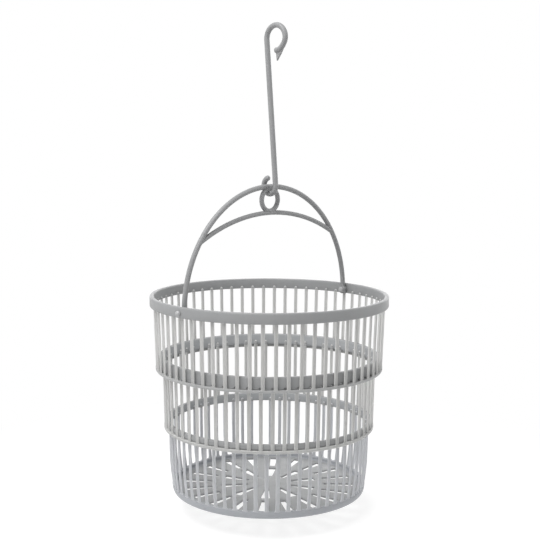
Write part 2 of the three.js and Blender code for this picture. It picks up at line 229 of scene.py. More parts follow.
class PegBasketFinish(bpy.types.PropertyGroup):
    basket_colour: colour("Basket colour", "Plastic of the bands", (0.302, 0.306, 0.31))
    # The base rim is the bands' plastic painted paler and bluer: a painted reflection of the floor
    # and of the light bounced up from it.
    base_colour: colour("Base colour", "Plastic of the base rim", (0.33, 0.341, 0.362))
    # The lower bands' inner sides are the same plastic painted paler and bluer: painted light,
    # standing in for the light inside the basket.
    inside_colour: colour("Inside colour", "Inner side of the lower bands", (0.38, 0.39, 0.4))
    # The upper ledge is the bands' plastic painted paler: painted light, standing in for light
    # through its thin edge.
    ledge_colour: colour("Ledge colour", "Plastic of the upper ledge", (0.375, 0.378, 0.378))
    # The slats are the bands' plastic painted about twice as pale: painted light standing in for the
    # light on their sides and through them, on top of the real light that thinness lets through.
    slat_colour: colour("Slat colour", "Plastic of the thin slats", (0.62, 0.62, 0.613))
    low_slat_colour: colour("Low slat colour", "Plastic of the lowest slats", (0.595, 0.602, 0.617))
    thinness: share("Thinness", "How much of the light the slats let through", 0.42)
    handle_colour: colour("Handle colour", "Plastic of handle and hook", (0.288, 0.291, 0.295))
    # The pins are painted paler than the handle, partly a painted highlight on their small domed
    # heads.
    pin_colour: colour("Pin colour", "Plastic of the pins", (0.42, 0.423, 0.427))
    roughness: share("Roughness", "Roughness of the satin plastic", 0.42)
    cloud: share("Cloud", "How much the colour varies from place to place", 0.16)
    grain: share("Grain", "Depth of the fine grain", 0.5)
    # Paler edges: partly rubbed plastic, partly a painted highlight along them.
    wear: share("Wear", "How much the edges are rubbed", 0.35)


class PegBasketStudio(bpy.types.PropertyGroup):
    lens: bpy.props.FloatProperty(
        name="Lens", description="Focal length in millimetres", default=72.24, min=1
    )
    distance: length("Distance", "From the basket's axis to the camera", 0.990)
    height: length("Camera height", "From the rim's top to the camera", 0.1468)
    azimuth: angle("Azimuth", "Which way the camera looks, from +Y towards +X", 45.2)
    pitch: angle("Pitch", "How far the camera looks down", 7.17)
    roll: angle("Roll", "How far the camera is turned about its view", 0.25)
    aim_drop: length("Aim drop", "From the rim's top down to where the lamps point", 0.09)
    floor_drop: length("Floor drop", "From the foot to the studio floor", 0.020)
    world_strength: strength("World strength", "Soft light all round", 0.30)
    floor_glow: strength("Floor glow", "Light that the floor under the basket sends up", 0.32)
    top_power: strength("Top power", "Power of the wide lamp overhead", 31.0)
    left_power: strength("Left power", "Power of the lamp on the left", 2.1)
    right_power: strength("Right power", "Power of the lamp on the right", 3.4)
    front_power: strength("Front power", "Power of the lamp in front on the left", 0.8)
    back_power: strength("Back power", "Power of the wide lamp behind, for the thin slats", 12.0)


def settings(context):
    return context.scene.peg_basket


class PegBasket(bpy.types.PropertyGroup):
    sizes: bpy.props.PointerProperty(type=PegBasketSizes)
    handle: bpy.props.PointerProperty(type=PegBasketHandle)
    hook: bpy.props.PointerProperty(type=PegBasketHook)
    finish: bpy.props.PointerProperty(type=PegBasketFinish)
    studio: bpy.props.PointerProperty(type=PegBasketStudio)


# Shader nodes

WHITE = (1, 1, 1, 1)
PLASTIC_IOR = 1.49
PLASTIC_SPECULAR = 0.35
# How much paler a slat's sides are painted than its face and back: a painted highlight for the light
# that falls on them from the sides and through them
SIDES_PAINTED_PALER = 1.3

# The node editor's layout: nodes in a column, and from node to node across and down
NODE_ROWS = 4
NODE_SPACING = (220, -260)


def add_node(tree, kind, inputs=None, **options):
    """Adds a node with its options. inputs has a value or another node's output for each
    socket, by its name or number."""
    node = tree.nodes.new(kind)
    place = divmod(len(tree.nodes) - 1, NODE_ROWS)
    node.location = [step * spacing for step, spacing in zip(place, NODE_SPACING)]
    for key, value in options.items():
        setattr(node, key, value)
    for socket, value in (inputs or {}).items():
        if isinstance(value, bpy.types.NodeSocket):
            tree.links.new(value, node.inputs[socket])
        else:
            node.inputs[socket].default_value = value
    return node


def math_node(tree, operation, *values):
    inputs = dict(enumerate(values))
    return add_node(tree, "ShaderNodeMath", inputs, operation=operation).outputs["Value"]


def vector_node(tree, operation, *values, result="Vector"):
    inputs = dict(enumerate(values))
    return add_node(tree, "ShaderNodeVectorMath", inputs, operation=operation).outputs[result]


def map_range(tree, value, start, end, low=0, high=1, curve="LINEAR"):
    inputs = {"Value": value, "From Min": start, "From Max": end, "To Min": low, "To Max": high}
    return add_node(tree, "ShaderNodeMapRange", inputs, interpolation_type=curve).outputs["Result"]


def mix_colour(tree, factor, first, second):
    inputs = {"Factor": factor, "A": first, "B": second}
    return add_node(tree, "ShaderNodeMix", inputs, data_type="RGBA").outputs["Result"]


def mix_shader(tree, factor, first, second):
    inputs = {"Fac": factor, 1: first, 2: second}
    return add_node(tree, "ShaderNodeMixShader", inputs).outputs["Shader"]


def add_shader(tree, first, second):
    return add_node(tree, "ShaderNodeAddShader", {0: first, 1: second}).outputs["Shader"]


def empty_tree(owner):
    """The node tree of a material or world, with nothing in it."""
    owner.use_nodes = True
    owner.node_tree.nodes.clear()
    return owner.node_tree


def node_group(name, inputs, outputs):
    """A new node group, with inputs of names and defaults, and outputs of names and kinds."""
    group = bpy.data.node_groups.new(name, "ShaderNodeTree")
    for socket, default in inputs.items():
        kind = "NodeSocketFloat" if isinstance(default, float) else "NodeSocketColor"
        group.interface.new_socket(socket, in_out="INPUT", socket_type=kind).default_value = default
    for socket, kind in outputs.items():
        group.interface.new_socket(socket, in_out="OUTPUT", socket_type=kind)
    return group


def moulded_surface():
    """Node group of moulded plastic: cloudy colour, flow streaks, a fine grain and paler edges, which
    are partly rubbed wear and partly a painted highlight.
    """
    group = bpy.data.node_groups.get("moulded_surface")
    if group:
        return group
    inputs = {
        "Colour": (0.5, 0.5, 0.5, 1),
        "Roughness": 0.36,
        "Cloud": 0.05,
        "Grain": 0.5,
        "Wear": 0.3,
        "Rounding": 0.0003,
        "Edge Colour": (0.72, 0.725, 0.73, 1),
    }
    outputs = {
        "Colour": "NodeSocketColor",
        "Roughness": "NodeSocketFloat",
        "Height": "NodeSocketFloat",
        "Normal": "NodeSocketVector",
    }
    group = node_group("moulded_surface", inputs, outputs)
    given = add_node(group, "NodeGroupInput").outputs
    place = add_node(group, "ShaderNodeTexCoord").outputs["Object"]

    def noise(vector, scale, detail):
        inputs = {"Vector": vector, "Scale": scale, "Detail": detail}
        return add_node(group, "ShaderNodeTexNoise", inputs).outputs["Fac"]

    def compute(operation, *values):
        return math_node(group, operation, *values)

    def swing(value):
        """A noise's swing either side of its middle."""
        middle = 0.5
        return compute("SUBTRACT", value, middle)

    long_ways = {"Vector": place, "Scale": (1, 1, 0.06)}
    stretched = add_node(group, "ShaderNodeMapping", long_ways).outputs["Vector"]
    cloud = noise(place, scale=22, detail=3)
    streak = noise(stretched, scale=160, detail=2)
    grain = noise(place, scale=1500, detail=2)
    peel = noise(place, scale=420, detail=3)
    # Cloud and streaks swing the value a little either side of the colour.
    streak_amount = 0.6
    both = compute("ADD", swing(cloud), compute("MULTIPLY", swing(streak), streak_amount))
    value = compute("ADD", compute("MULTIPLY", both, given["Cloud"]), 1)
    shade_inputs = {"Color": given["Colour"], "Value": value}
    shade = add_node(group, "ShaderNodeHueSaturation", shade_inputs).outputs["Color"]
    # Edges are where the rounded normal leaves the flat one: they are paler there, partly rubbed
    # plastic and partly a painted highlight where light catches them.
    radius = {"Radius": given["Rounding"]}
    rounded = add_node(group, "ShaderNodeBevel", radius, samples=4).outputs["Normal"]
    flat = add_node(group, "ShaderNodeNewGeometry").outputs["Normal"]
    alike = vector_node(group, "DOT_PRODUCT", rounded, flat, result="Value")
    edge_mask = map_range(group, alike, start=0.99, end=0.85)
    least_patch = 0.25
    patchy = compute("MULTIPLY", edge_mask, compute("ADD", peel, least_patch))
    rubbed_and_highlit = compute("MULTIPLY", patchy, given["Wear"])
    # The skin's unevenness roughens and smooths it in turn, and rubbed edges are smoother.
    peel_roughness, rubbed_polish = 0.22, 0.15
    unevenness = compute("MULTIPLY", swing(peel), peel_roughness)
    uneven = compute("ADD", given["Roughness"], unevenness)
    rough = compute("SUBTRACT", uneven, compute("MULTIPLY", rubbed_and_highlit, rubbed_polish))
    peel_height = 1.6
    relief = compute("ADD", grain, compute("MULTIPLY", peel, peel_height))
    results = {
        "Colour": mix_colour(group, rubbed_and_highlit, shade, given["Edge Colour"]),
        "Roughness": rough,
        "Height": compute("MULTIPLY", relief, given["Grain"]),
        "Normal": rounded,
    }
    add_node(group, "NodeGroupOutput", results)
    return group


def slat_sides():
    """Node group, the mask of the painted side highlight: 0 on the faces that look straight away from
    the basket's axis, 1 on the rest.
    """
    group = bpy.data.node_groups.get("slat_sides")
    if group:
        return group
    group = node_group("slat_sides", {}, {"Sides": "NodeSocketFloat"})
    place = add_node(group, "ShaderNodeTexCoord").outputs["Object"]
    normal = add_node(group, "ShaderNodeNewGeometry").outputs["Normal"]
    reach = vector_node(group, "SUBTRACT", place, BASKET_AXIS)
    level = vector_node(group, "MULTIPLY", reach, (1, 1, 0))
    outward = vector_node(group, "NORMALIZE", level)
    facing = vector_node(group, "DOT_PRODUCT", outward, normal, result="Value")
    sides = map_range(group, math_node(group, "ABSOLUTE", facing), start=0.96, end=0.7)
    add_node(group, "NodeGroupOutput", {"Sides": sides})
    return group


def plastic(name, finish, base_colour, roughness, wear, thin):
    """Satin plastic. thin is the share of the light that it lets through. The sides of thin
    slats are painted paler, a painted highlight."""
    material = bpy.data.materials.new(name)
    tree = empty_tree(material)
    given = {
        "Colour": (*base_colour, 1),
        "Roughness": roughness,
        "Cloud": finish.cloud,
        "Grain": finish.grain,
        "Wear": wear,
    }
    surface = add_node(tree, "ShaderNodeGroup", given, node_tree=moulded_surface()).outputs
    relief = {"Height": surface["Height"], "Strength": 0.3, "Distance": 0.00005}
    if wear:
        relief["Normal"] = surface["Normal"]
    normal = add_node(tree, "ShaderNodeBump", relief).outputs["Normal"]
    shade = surface["Colour"]
    if thin:
        # The slats' sides are painted paler: a painted highlight.
        sides = add_node(tree, "ShaderNodeGroup", node_tree=slat_sides()).outputs["Sides"]
        paler = [min(1, SIDES_PAINTED_PALER * part) for part in base_colour]
        shade = mix_colour(tree, sides, shade, (*paler, 1))
    look = {
        "Base Color": shade,
        "Roughness": surface["Roughness"],
        "Normal": normal,
        "IOR": PLASTIC_IOR,
        "Specular IOR Level": PLASTIC_SPECULAR,
    }
    shader = add_node(tree, "ShaderNodeBsdfPrincipled", look).outputs["BSDF"]
    if thin:
        through = {"Color": shade, "Normal": normal}
        passed = add_node(tree, "ShaderNodeBsdfTranslucent", through).outputs["BSDF"]
        shader = mix_shader(tree, thin, shader, passed)
    add_node(tree, "ShaderNodeOutputMaterial", {"Surface": shader})
    return material


def finish_material(context, which):
    """The plastic of one kind of surface, such as "basket", "base", "ledge" or "slat", made once."""
    name = "moulded_" + which
    found = bpy.data.materials.get(name)
    if found:
        return found
    finish = settings(context).finish
    # The hook has the handle's colour.
    base = getattr(finish, which + "_colour", finish.handle_colour)
    # Round rods have no edges to rub, and get no painted edge highlight.
    wear = 0 if which in ("handle", "hook") else finish.wear
    thin = finish.thinness if which in ("slat", "low_slat") else 0
    # The pins' small heads are glossier.
    pin_gloss = 0.6
    rough = finish.roughness * (pin_gloss if which == "pin" else 1)
    return plastic(name, finish, base, rough, wear, thin)


# Mesh helpers


def pick(geom, kind):
    return [g for g in geom if isinstance(g, kind)]


def bevel(bm, geom, radius, segments=3, affect="EDGES"):
    bmesh.ops.bevel(
        bm, geom=geom, offset=radius, offset_type="OFFSET", segments=segments, profile=0.5,
        affect=affect, material=-1,
    )


def spin(bm, geom, centre, axis, turn, steps, merge=False, copies=False):
    """Spins geometry about an axis and returns the edges of its last place."""
    made = bmesh.ops.spin(
        bm, geom=geom, cent=centre, axis=axis, dvec=ORIGIN, angle=turn, steps=steps,
        use_merge=merge, use_normal_flip=False, use_duplicate=copies,
    )
    return pick(made["geom_last"], bmesh.types.BMEdge)


def cap(bm, *rings):
    """Closes rings of edges with a face each."""
    for ring in rings:
        bmesh.ops.contextual_create(bm, geom=ring)


def turn_all(bm, turn):
    """Turns all that a bmesh holds about the vertical through its origin."""
    bmesh.ops.rotate(bm, cent=ORIGIN, matrix=Matrix.Rotation(turn, 3, "Z"), verts=bm.verts[:])


def outline(corners, centre):
    """A closed outline beside a centre, from (radius, height, rounding) corners."""
    bm = bmesh.new()
    verts = [bm.verts.new(centre + Vector((reach, 0, height))) for reach, height, _ in corners]
    bm.faces.new(verts)
    for vert, (_, _, rounding) in zip(verts, corners):
        if rounding:
            bevel(bm, [vert], rounding, affect="VERTICES")
    bmesh.ops.delete(bm, geom=bm.faces[:], context="FACES_ONLY")
    return bm


def spun(*corners):
    """Spins an outline of (radius, height, rounding) corners about the basket's axis."""
    bm = outline(corners, BASKET_AXIS)
    spin(bm, bm.verts[:] + bm.edges[:], BASKET_AXIS, UP, FULL_TURN, RING_STEPS, merge=True)
    return bm


def sector(corners, first, turn, steps):
    """Part of a ring with closed ends, round the origin, from (radius, height, rounding) corners."""
    bm = outline(corners, Vector())
    turn_all(bm, first)
    start = bm.edges[:]
    end = turn_ring(bm, start, ORIGIN, UP, turn, steps)
    cap(bm, start, end)
    return bm


def extrude_ring(bm, edges):
    """Extrudes a closed ring of edges in place and returns the new ring's verts and edges."""
    made = bmesh.ops.extrude_edge_only(bm, edges=edges)["geom"]
    verts = pick(made, bmesh.types.BMVert)
    new = set(verts)
    return verts, [edge for edge in pick(made, bmesh.types.BMEdge) if new.issuperset(edge.verts)]


def grow(bm, edges, centre, scale, shift):
    """Extrudes a ring of edges, scaling it about its centre and shifting it."""
    verts, ring = extrude_ring(bm, edges)
    bmesh.ops.scale(bm, vec=scale, space=Matrix.Translation(-centre), verts=verts)
    bmesh.ops.translate(bm, vec=shift, verts=verts)
    return ring


def slat_foot(sizes, ledge, face, spread):
    """A slat's first stations, from inside its ledge up to where its foot narrows."""
    return (
        (ledge - FOOT_SINK, face, spread),
        (ledge, face, spread),
        (ledge + FOOT_BEND * sizes.slat_foot, face, FOOT_SPREAD),
    )


def standing_slat(sizes, stations, nub):
    """One slat at +X, from its foot up through stations of (height, face radius, spread), with
    a domed top of the given height."""
    bm = bmesh.new()
    half, depth = sizes.slat_width / 2, sizes.slat_depth
    height, face, spread = stations[0]
    for inward_share, across in SLAT_SECTION:
        bm.verts.new((face - inward_share * depth, across * half, height))
    bm.faces.new(bm.verts[:])
    bevel(bm, bm.verts[:], sizes.slat_edge, segments=1, affect="VERTICES")
    ring = bm.edges[:]
    centre = Vector((face - depth / 2, 0, height))
    bmesh.ops.scale(bm, vec=(1, spread, 1), space=Matrix.Translation(-centre), verts=bm.verts[:])
    for next_height, next_face, next_spread in stations[1:]:
        shift = Vector((next_face - face, 0, next_height - height))
        ring = grow(bm, ring, centre, Vector((1, next_spread / spread, 1)), shift)
        centre = centre + shift
        height, face, spread = next_height, next_face, next_spread
    for rise, narrowing in NUB_RINGS:
        shift = Vector((0, 0, nub * rise))
        ring = grow(bm, ring, centre, Vector((narrowing, narrowing, 1)), shift)
        centre = centre + shift
    cap(bm, ring)
    return bm


def all_round(bm, first=0.0):
    """Turns what the bmesh holds by a first angle, copies it to every slat's place and moves
    it all to the basket."""
    turn_all(bm, first)
    everything = bm.verts[:] + bm.edges[:] + bm.faces[:]
    last = FULL_TURN * (SLATS - 1) / SLATS
    spin(bm, everything, ORIGIN, UP, last, SLATS - 1, copies=True)
    bmesh.ops.translate(bm, vec=BASKET_AXIS, verts=bm.verts[:])
    return bm


def rod_ring(bm, centre, along, radius):
    """A ring of edges across a rod's path, the start of the rod."""
    turn = Vector(along).to_track_quat("Z", "Y").to_matrix().to_4x4()
    place = Matrix.Translation(centre) @ turn
    made = bmesh.ops.create_circle(
        bm, cap_ends=False, segments=ROD_SIDES, radius=radius, matrix=place
    )["verts"]
    return list({edge for vert in made for edge in vert.link_edges})


def turn_ring(bm, ring, centre, axis, turn, steps):
    """Spins a ring of edges about a centre and returns the last ring."""
    verts = list({vert for edge in ring for vert in edge.verts})
    return spin(bm, verts + ring, centre, axis, turn, steps)


def dome(bm, ring, along, radius):
    """Rounds off a rod from its last ring."""
    verts = list({vert for edge in ring for vert in edge.verts})
    centre = sum((vert.co for vert in verts), Vector()) / len(verts)
    done, reach = 1.0, 0.0
    for degrees in DOME_RINGS:
        size = math.cos(math.radians(degrees))
        far = radius * math.sin(math.radians(degrees))
        shift = Vector(along).normalized() * (far - reach)
        ring = grow(bm, ring, centre, Vector((1, 1, 1)) * size / done, shift)
        centre, done, reach = centre + shift, size, far
    cap(bm, ring)


def between(low, high):
    """A test for faces between two heights, from the rim's top."""
    return lambda face: low < face.calc_center_median().z - BASKET_AXIS.z < high


def inward(face):
    """A test for faces that look towards the basket's axis."""
    out = (face.calc_center_median() - BASKET_AXIS).xy
    return face.normal.xy.dot(out) < -INWARD * out.length


def nub_parts_with_painted_tips(low, highlight_from):
    """The parts of a row of slats: on the band, which no light comes through, their tops take the
    ledges' colour instead of the slats' paler one, but for their tips, kept pale as a painted
    highlight."""
    return [("ledge", between(low, low + highlight_from))]


def hard_edges(edges):
    """Those edges that bend by more than a radian between their two faces."""
    return [e for e in edges if len(e.link_faces) == 2 and e.calc_face_angle() > 1]


def new_mesh(name, bm):
    """Turns a bmesh into a mesh and frees it."""
    mesh = bpy.data.meshes.new(name)
    bm.to_mesh(mesh)
    bm.free()
    return mesh


def new_object(context, name, data):
    """An object in the scene for a mesh, a lamp or a camera."""
    made = bpy.data.objects.new(name, data)
    context.collection.objects.link(made)
    return made


def make_piece(context, name, bm, body, nodes, which, sharp=40, parts=()):
    """Turns a bmesh into a finished piece on its body, in place of CAD nodes. Edges of more
    than sharp degrees stay sharp. parts are (material, test) pairs for faces that look
    different from the rest."""
    bmesh.ops.remove_doubles(bm, verts=bm.verts[:], dist=1e-6)
    bmesh.ops.recalc_face_normals(bm, faces=bm.faces[:])
    looks = [which]
    for other, test in parts:
        for face in filter(test, bm.faces):
            face.material_index = len(looks)
        looks.append(other)
    mesh = new_mesh(name, bm)
    mesh.shade_smooth()
    mesh.set_sharp_from_angle(angle=math.radians(sharp))
    for look in looks:
        mesh.materials.append(finish_material(context, look))
    piece = new_object(context, name, mesh)
    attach(piece, body)
    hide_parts(*nodes)
    return piece


# Places that several pieces share


def upper_face(sizes, height):
    """Radius of the upper slats' faces at a height, from the rim's top."""
    down = (-sizes.rim_height - height) / (sizes.upper_height - sizes.rim_height)
    return sizes.rim_radius - sizes.rim_wall + SLAT_SINK - sizes.upper_taper * down


def tiers(sizes):
    """Heights from the rim's top, and radii, from the basket's sizes."""
    at = SimpleNamespace()
    at.rim_bottom = -sizes.rim_height
    at.rim_inner = sizes.rim_radius - sizes.rim_wall
    at.ledge_bottom = -sizes.upper_height
    at.ledge_top = at.ledge_bottom + sizes.upper_ledge
    at.band_bottom = at.ledge_top + RUNNING_GAP
    at.band_top = at.band_bottom + sizes.band_height
    at.lip_bottom = at.ledge_bottom - sizes.middle_height
    at.lip_top = at.lip_bottom + sizes.lower_ledge
    at.low_band_top = at.lip_top + sizes.low_band
    at.base_top = at.lip_bottom - sizes.lower_height
    at.foot = at.base_top - sizes.base_height
    at.band_outer = upper_face(sizes, at.band_bottom) - sizes.slat_depth - NEST_CLEARANCE
    at.band_inner = at.band_outer - sizes.band_wall
    at.middle_face = at.band_inner + SLAT_SINK
    at.middle_face_low = at.middle_face - sizes.middle_taper
    at.ledge_inner = at.middle_face + PASS_CLEARANCE
    at.low_band_outer = at.middle_face_low - sizes.slat_depth + BAND_SINK
    at.low_band_inner = at.low_band_outer - sizes.low_band_wall
    at.lower_face = at.low_band_inner + SLAT_SINK
    at.lower_face_low = at.lower_face - sizes.lower_taper
    return at


def boss_ends(context):
    """How far out from the middle a round end of the handle begins and ends."""
    outer = tiers(settings(context).sizes).rim_inner - RUNNING_GAP
    return outer - settings(context).handle.boss_depth, outer


# Operators


class PEGBASKET_OT_upper_ring(bpy.types.Operator):
    """Build the rim band, its slats and the ledge that they stand on"""

    bl_idname = "peg_basket.upper_ring"
    bl_label = "Upper Ring"

    def execute(self, context):
        sizes = settings(context).sizes
        handle = settings(context).handle
        at = tiers(sizes)

        def add(name, bm, which, parts=()):
            make_piece(context, name, bm, "upper_ring", ["upper_ring"], which, parts=parts)

        rim = spun(
            (at.rim_inner, at.rim_bottom, SOFT),
            (sizes.rim_radius, at.rim_bottom, sizes.rim_edge),
            (sizes.rim_radius, 0, sizes.rim_edge),
            (at.rim_inner, 0, sizes.rim_edge),
        )
        add("rim_band", rim, "basket")
        outer = upper_face(sizes, at.ledge_bottom) + LEDGE_LIP
        ledge = spun(
            (at.ledge_inner, at.ledge_bottom, FINE),
            (outer, at.ledge_bottom, 2 * sizes.ledge_edge),
            (outer, at.ledge_top, sizes.ledge_edge / 2),
            (at.ledge_inner, at.ledge_top, FINE),
        )
        add("upper_ledge", ledge, "ledge")
        top = at.ledge_top
        foot_end = top + sizes.slat_foot
        stations = (
            *slat_foot(sizes, top, upper_face(sizes, top), spread=1.22),
            (foot_end, upper_face(sizes, foot_end), 1),
            (at.rim_bottom + UPPER_NUB_START, upper_face(sizes, at.rim_bottom), 1),
        )
        slats = all_round(standing_slat(sizes, stations, sizes.upper_nub))
        # The slat under each pin stops short of the handle's round end.
        limit = PIVOT.z - handle.boss_diameter / 2 - BOSS_CLEARANCE
        for vert in slats.verts:
            side = abs(vert.co.y - BASKET_AXIS.y)
            if side < sizes.slat_width and abs(vert.co.x) < at.rim_inner - LAP:
                vert.co.z = min(vert.co.z, limit)
        add("upper_slats", slats, "slat", nub_parts_with_painted_tips(at.rim_bottom, UPPER_HIGHLIGHT_TIPS))
        return {"FINISHED"}


def band_skirt(sizes, at, notch_top):
    """The band's lower edge, which flares a little and is open over each of its slats."""
    notch = sizes.notch_width / at.band_outer
    flare_edge = 0.00025
    flare_top = at.band_bottom + 0.0008
    skirt_top = notch_top + 0.0004
    corners = (
        (at.band_inner + LAP, at.band_bottom, FINE),
        (at.band_outer + sizes.band_flare, at.band_bottom, flare_edge),
        (at.band_outer + LAP, flare_top, FINE),
        (at.band_outer - LAP, skirt_top, 0),
        (at.band_inner + LAP, skirt_top, 0),
    )
    part = sector(corners, notch / 2, FULL_TURN / SLATS - notch, steps=4)
    return all_round(part, sizes.lower_turn)


def middle_slat(sizes, at):
    """A slat from the stepped ledge up over the middle band."""
    stations = (
        *slat_foot(sizes, at.lip_top, at.middle_face_low, spread=1.2),
        (at.lip_top + sizes.slat_foot, at.middle_face_low, 1),
        (at.band_bottom, at.middle_face, 1),
        (at.band_bottom + MIDDLE_NUB_START, at.middle_face, NUB_WIDTH),
    )
    return standing_slat(sizes, stations, sizes.lower_nub)


def lower_slat(sizes, at):
    """A slat that draws in slowly and then faster towards the base."""
    # Shares of the way down and of the taper, and the spread there
    drawn = (
        (1, 1, 1.6),
        (0.99, 0.995, 1.5),
        (0.98, 0.985, 1.2),
        (0.97, 0.97, 1.06),
        (0.955, 0.94, 1),
        (0.8, 0.56, 1),
        (0.6, 0.2, 1),
        (0.3, 0.05, 1),
        (0, 0, 1),
    )
    reach = sizes.lower_height + BASE_SINK
    stations = [
        (at.lip_bottom - down * reach, at.lower_face - inset * sizes.lower_taper, spread)
        for down, inset, spread in drawn
    ]
    stations.append((at.lip_bottom + LOWER_NUB_START, at.lower_face, NUB_WIDTH))
    return standing_slat(sizes, stations, sizes.lower_nub)


def base_rim(sizes, at, outer, floor_low):
    """The base rim, with a seat for the floor, a foot ring and an outside that curves in."""
    floor_top = floor_low + sizes.floor_thickness
    inner = outer - sizes.base_wall
    seat = outer - 0.0065
    foot_inner, foot_outer = outer - 0.0058, outer - 0.0018
    curve_in, curve_up = 0.0006, 0.0022
    top_edge, inner_foot_edge, outer_foot_edge, curve_edge = 0.0007, 0.0005, 0.0009, 0.0012
    return spun(
        (inner, at.base_top, top_edge),
        (inner, floor_top, SOFT),
        (seat, floor_top, 0),
        (seat, floor_low, 0),
        (foot_inner, floor_low, FINE),
        (foot_inner, at.foot, inner_foot_edge),
        (foot_outer, at.foot, outer_foot_edge),
        (outer - curve_in, at.foot + curve_up, curve_edge),
        (outer, at.base_top, top_edge),
    )


def slotted_floor(sizes, outer, low):
    """A disc with two rings of radial slots, spun sector by sector."""
    inner_slots, outer_slots = 10, 20
    inner_ring, outer_ring = (0.020, 0.045), (0.052, 0.079)
    # Half of each slot's width and the slots' spacing, in degrees
    inner_half, outer_half = 5.5, 2.6
    inner_pitch, outer_pitch = 360 / inner_slots, 360 / outer_slots
    bm = bmesh.new()
    verts = [bm.verts.new((reach, 0, low)) for reach in (0, *inner_ring, *outer_ring, outer)]
    ring = [bm.edges.new(pair) for pair in zip(verts, verts[1:])]
    turn_all(bm, math.radians(-inner_half))
    flank = inner_half - outer_half
    bar = outer_pitch - outer_half - inner_half
    slot, wide_bar = (2 * outer_half, 2), (bar, 3)
    turns = ((flank, 1), slot, (flank, 1), wide_bar, slot, wide_bar)
    for degrees, steps in turns * inner_slots:
        ring = turn_ring(bm, ring, ORIGIN, UP, math.radians(degrees), steps)
    bmesh.ops.remove_doubles(bm, verts=bm.verts[:], dist=1e-6)

    def in_slot(face):
        centre = face.calc_center_median()
        turn = math.degrees(math.atan2(centre.y, centre.x))
        for (start, end), pitch, half in (
            (outer_ring, outer_pitch, outer_half),
            (inner_ring, inner_pitch, inner_half),
        ):
            if start < centre.xy.length < end:
                return abs((turn + pitch / 2) % pitch - pitch / 2) < half
        return False

    slots = [face for face in bm.faces if in_slot(face)]
    bmesh.ops.delete(bm, geom=slots, context="FACES")
    bmesh.ops.recalc_face_normals(bm, faces=bm.faces[:])
    if bm.faces[:][0].normal.z > 0:
        bmesh.ops.reverse_faces(bm, faces=bm.faces[:])
    bmesh.ops.solidify(bm, geom=bm.faces[:], thickness=sizes.floor_thickness)
    bevel(bm, hard_edges(bm.edges), FINE_EDGE, segments=2)
    turn_all(bm, sizes.lower_turn)
    bmesh.ops.translate(bm, vec=BASKET_AXIS, verts=bm.verts[:])
    return bm


class PEGBASKET_OT_lower_basket(bpy.types.Operator):
    """Build the middle band, both rows of slats under it, the stepped ledge and the base"""

    bl_idname = "peg_basket.lower_basket"
    bl_label = "Lower Basket"

    def execute(self, context):
        sizes = settings(context).sizes
        at = tiers(sizes)

        def add(name, bm, which="basket", sharp=40, parts=()):
            make_piece(context, name, bm, "lower_basket", ["lower_basket"], which, sharp, parts)

        notch_top = at.band_bottom + sizes.notch_height
        band = spun(
            (at.band_inner, notch_top, 0),
            (at.band_outer, notch_top, 0),
            (at.band_outer, at.band_top, sizes.rim_edge),
            (at.band_inner, at.band_top, sizes.rim_edge),
        )
        # Inner sides take the paler inside colour: painted light inside the basket.
        add("middle_band", band, parts=[("inside", inward)])
        add("middle_band_skirt", band_skirt(sizes, at, notch_top), parts=[("inside", inward)])
        middle = all_round(middle_slat(sizes, at), sizes.lower_turn)
        add("middle_slats", middle, "slat", parts=nub_parts_with_painted_tips(at.band_bottom, MIDDLE_HIGHLIGHT_TIPS))
        lip = at.lip_top
        outer = at.middle_face_low + LEDGE_LIP
        groove_in = at.low_band_outer - sizes.groove
        groove_top = lip + sizes.groove
        ledge = spun(
            (at.low_band_inner, at.lip_bottom, SOFT),
            (outer, at.lip_bottom, 2 * sizes.ledge_edge),
            (outer, lip, sizes.ledge_edge / 2),
            (groove_in, lip, FINEST),
            (groove_in, groove_top, FINEST),
            (at.low_band_outer, groove_top, FINEST),
            (at.low_band_outer, at.low_band_top, sizes.ledge_edge),
            (at.low_band_inner, at.low_band_top, sizes.ledge_edge),
        )
        # The stepped ledge's lip takes the pale slat colour: painted light bounced up from the floor
        # below.
        step = between(at.lip_bottom - sizes.ledge_edge, lip + sizes.groove / 2)
        add("stepped_ledge", ledge, parts=[("inside", inward), ("slat", step)])
        half_pitch = math.pi / SLATS
        lower = all_round(lower_slat(sizes, at), sizes.lower_turn + half_pitch)
        add("lower_slats", lower, "low_slat", parts=nub_parts_with_painted_tips(at.lip_bottom, LOWER_HIGHLIGHT_TIPS))
        base = at.lower_face_low + BASE_LIP
        floor_low = at.foot + sizes.floor_recess
        add("base_rim", base_rim(sizes, at, base, floor_low), "base")
        add("slotted_floor", slotted_floor(sizes, base - FLOOR_EDGE, floor_low), sharp=30)
        return {"FINISHED"}


